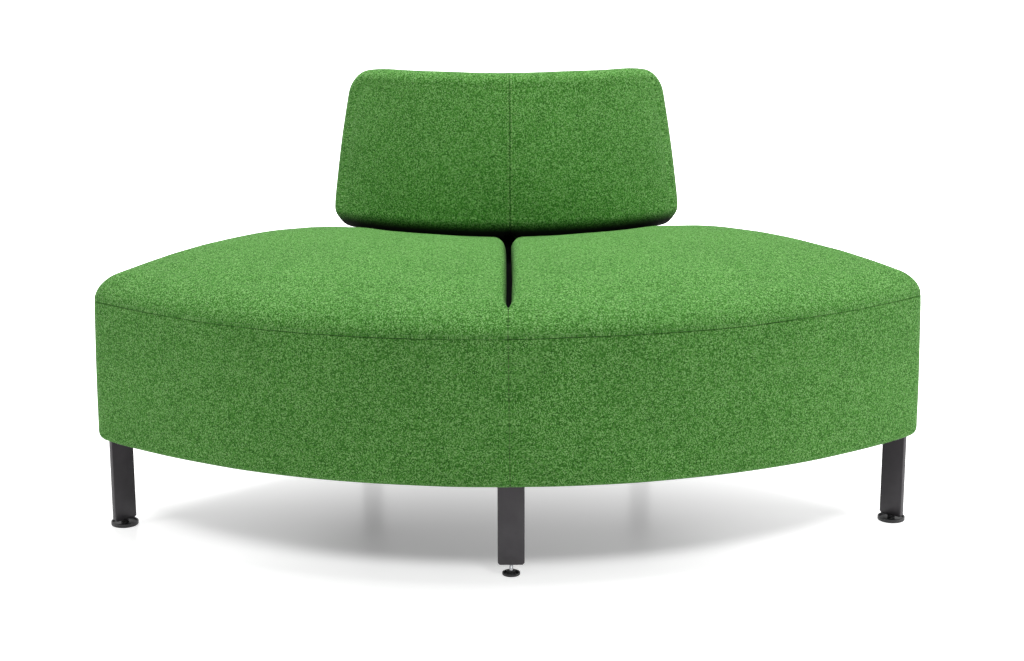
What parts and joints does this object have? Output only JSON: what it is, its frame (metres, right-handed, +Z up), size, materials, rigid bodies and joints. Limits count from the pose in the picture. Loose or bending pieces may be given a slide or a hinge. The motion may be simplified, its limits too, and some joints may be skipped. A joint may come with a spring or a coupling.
{
  "type": "curved sofa module",
  "caption": "Quarter-ring upholstered seat with a split crowned cushion, a low leaning curved backrest over its short rear arc, and flat-bar legs on screw-adjusted feet.",
  "frame": {"origin": "middle of the footprint's bounding box, on the floor", "axes": "+X to the sitter's left (the viewer's right in the picture), +Y to the back, +Z up; the sitter faces -Y"},
  "size_m": [1.2826, 0.7188, 0.6835],
  "materials": {
    "cover_fabric": "coarse green melange wool weave, sewn",
    "foam": "cut polyurethane foam",
    "dust_lining": "black non-woven lining",
    "plywood": "raw birch plywood",
    "leg_coating": "charcoal powder coat, satin",
    "zinc_steel": "zinc plated",
    "foot_plastic": "black moulded nylon"
  },
  "bodies": {
    "frame": {"dust_cover": "dust_lining", "base_board": "plywood", "deck_board": "plywood", "front_rail": "plywood", "rear_rail": "plywood", "side_board_right": "plywood", "side_board_left": "plywood", "centre_rib": "plywood", "rib_right": "plywood", "rib_left": "plywood", "skirt_foam_right": "foam", "skirt_foam_left": "foam", "skirt_foam_rear": "foam", "skirt_cover_right": "cover_fabric", "skirt_cover_left": "cover_fabric", "skirt_cover_rear": "cover_fabric", "seat_foam_right": "foam", "seat_foam_left": "foam", "seat_cushion_right": "cover_fabric", "seat_cushion_left": "cover_fabric", "leg_front": "leg_coating", "leg_screw_front_1": "zinc_steel", "leg_screw_front_2": "zinc_steel", "leg_corner_left": "leg_coating", "leg_screw_corner_left_1": "zinc_steel", "leg_screw_corner_left_2": "zinc_steel", "leg_corner_right": "leg_coating", "leg_screw_corner_right_1": "zinc_steel", "leg_screw_corner_right_2": "zinc_steel", "leg_rear_left": "leg_coating", "leg_screw_rear_left_1": "zinc_steel", "leg_screw_rear_left_2": "zinc_steel", "leg_rear_right": "leg_coating", "leg_screw_rear_right_1": "zinc_steel", "leg_screw_rear_right_2": "zinc_steel", "backrest_cushion": "cover_fabric", "backrest_shell": "plywood", "backrest_wadding": "foam", "backrest_rear_panel": "cover_fabric", "bracket_left": "leg_coating", "bracket_bolt_left_1": "zinc_steel", "bracket_bolt_left_2": "zinc_steel", "bracket_bolt_left_3": "zinc_steel", "bracket_bolt_left_4": "zinc_steel", "bracket_right": "leg_coating", "bracket_bolt_right_1": "zinc_steel", "bracket_bolt_right_2": "zinc_steel", "bracket_bolt_right_3": "zinc_steel", "bracket_bolt_right_4": "zinc_steel"},
    "foot_front": {"foot_pad_front": "foot_plastic", "foot_stud_front": "zinc_steel"},
    "foot_corner_left": {"foot_pad_corner_left": "foot_plastic", "foot_stud_corner_left": "zinc_steel"},
    "foot_corner_right": {"foot_pad_corner_right": "foot_plastic", "foot_stud_corner_right": "zinc_steel"},
    "foot_rear_left": {"foot_pad_rear_left": "foot_plastic", "foot_stud_rear_left": "zinc_steel"},
    "foot_rear_right": {"foot_pad_rear_right": "foot_plastic", "foot_stud_rear_right": "zinc_steel"}
  },
  "joints": [
    {"name": "foot_front_adjust", "type": "slide", "parent": "frame", "child": "foot_front", "axis": [0, 0, -1], "range_m": [-0.0084, 0.006]},
    {"name": "foot_corner_left_adjust", "type": "slide", "parent": "frame", "child": "foot_corner_left", "axis": [0, 0, -1], "range_m": [0, 0.012]},
    {"name": "foot_corner_right_adjust", "type": "slide", "parent": "frame", "child": "foot_corner_right", "axis": [0, 0, -1], "range_m": [0, 0.012]},
    {"name": "foot_rear_left_adjust", "type": "slide", "parent": "frame", "child": "foot_rear_left", "axis": [0, 0, -1], "range_m": [0, 0.012]},
    {"name": "foot_rear_right_adjust", "type": "slide", "parent": "frame", "child": "foot_rear_right", "axis": [0, 0, -1], "range_m": [0, 0.012]}
  ]
}
